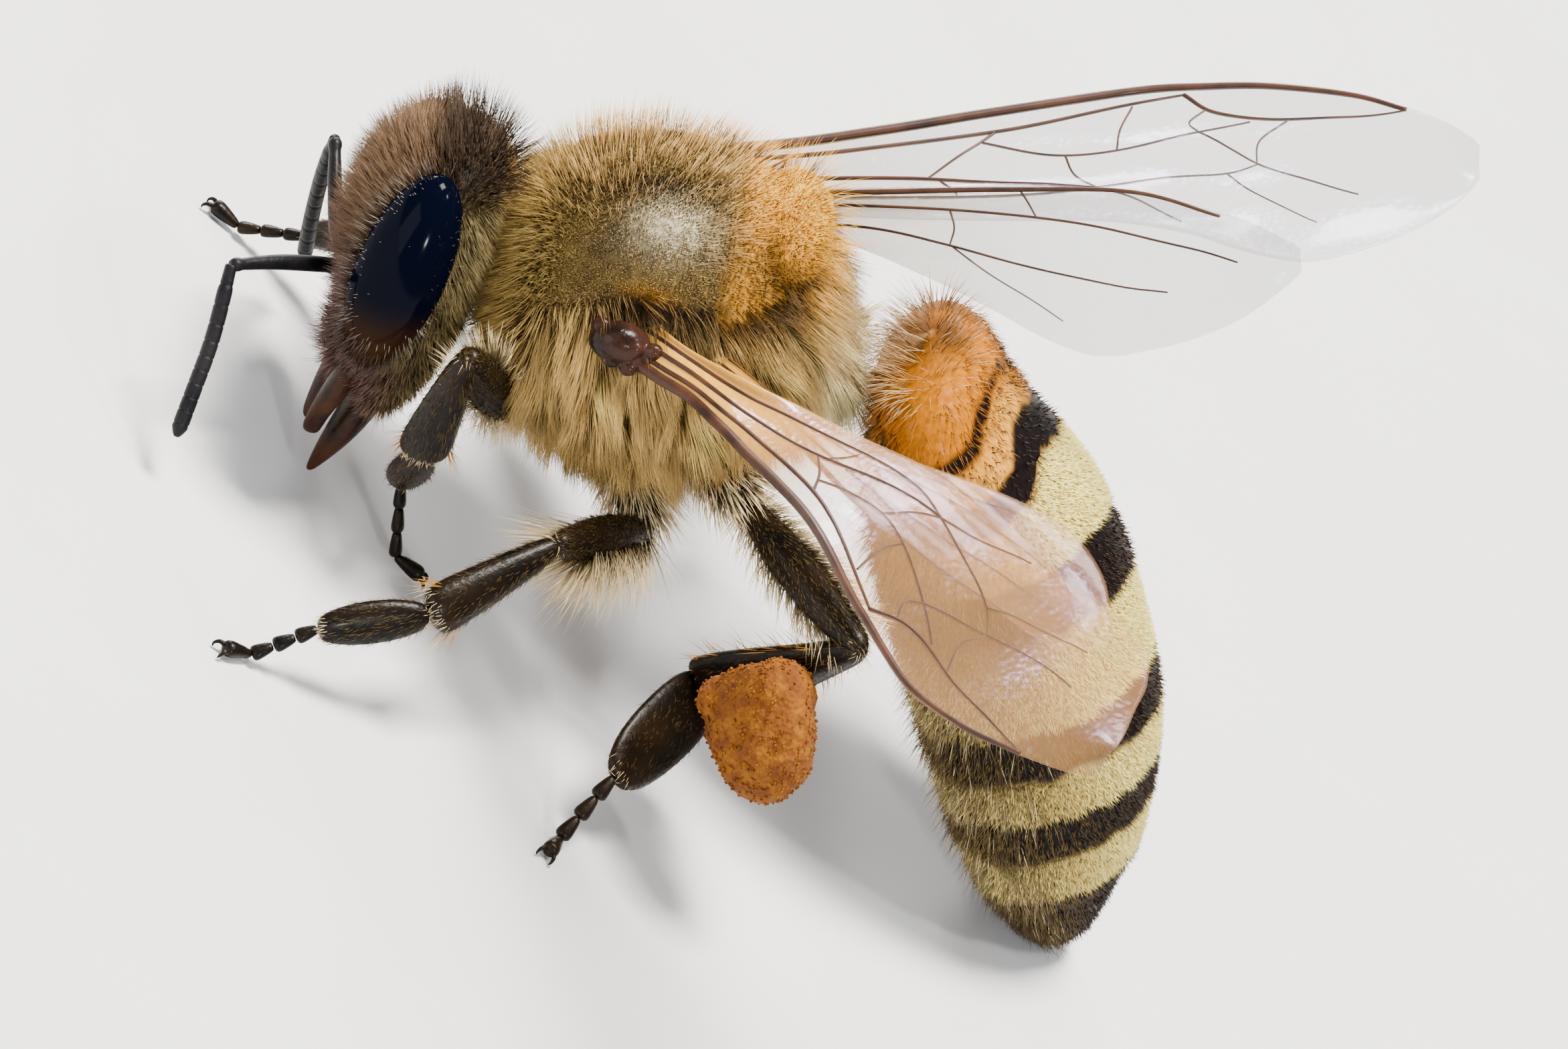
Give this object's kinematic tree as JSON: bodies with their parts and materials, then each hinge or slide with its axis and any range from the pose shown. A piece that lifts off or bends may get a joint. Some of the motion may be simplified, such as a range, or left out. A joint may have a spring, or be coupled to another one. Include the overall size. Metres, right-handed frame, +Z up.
{
  "type": "honey bee",
  "caption": "Life-size worker honey bee with pollen loads, posed head-down with spread wings, as a still model standing on its feet and tail tip.",
  "frame": {"origin": "on the floor, under the middle of the bounding box", "axes": "+X the way the bee faces, +Y its left side, +Z up"},
  "size_m": [0.0138, 0.0164, 0.0106],
  "materials": {
    "fur": "dense golden-tan branched hair",
    "face": "grey-brown hair over a black shell",
    "eye": "glossy black compound eye with fine hair",
    "shell": "black-brown chitin with short pale hair",
    "amber": "orange-amber chitin with pale hair",
    "band": "black chitin with cream felt bands",
    "wing": "clear membrane with red-brown veins",
    "pollen": "packed orange pollen"
  },
  "bodies": {
    "root": {"abdomen_1": "amber", "abdomen_2": "amber", "abdomen_3": "band", "abdomen_4": "band", "abdomen_5": "band", "abdomen_6": "band", "basitarsus_front_left": "shell", "basitarsus_front_right": "shell", "basitarsus_hind_left": "shell", "basitarsus_hind_right": "shell", "basitarsus_mid_left": "shell", "basitarsus_mid_right": "shell", "coxa_front_left": "shell", "coxa_front_right": "shell", "coxa_hind_left": "shell", "coxa_hind_right": "shell", "coxa_mid_left": "shell", "coxa_mid_right": "shell", "eye_left": "eye", "eye_right": "eye", "femur_front_left": "shell", "femur_front_right": "shell", "femur_hind_left": "shell", "femur_hind_right": "shell", "femur_mid_left": "shell", "femur_mid_right": "shell", "flagellum_left": "shell", "flagellum_right": "shell", "forewing_left": "wing", "forewing_right": "wing", "head": "face", "hindwing_left": "wing", "hindwing_right": "wing", "mandible_left": "shell", "mandible_right": "shell", "pollen_load_left": "pollen", "pollen_load_right": "pollen", "proboscis": "shell", "scape_left": "shell", "scape_right": "shell", "scutellum": "fur", "tarsus_front_left": "shell", "tarsus_front_right": "shell", "tarsus_hind_left": "shell", "tarsus_hind_right": "shell", "tarsus_mid_left": "shell", "tarsus_mid_right": "shell", "tegula_left": "shell", "tegula_right": "shell", "thorax": "fur", "tibia_front_left": "shell", "tibia_front_right": "shell", "tibia_hind_left": "shell", "tibia_hind_right": "shell", "tibia_mid_left": "shell", "tibia_mid_right": "shell"}
  },
  "joints": []
}
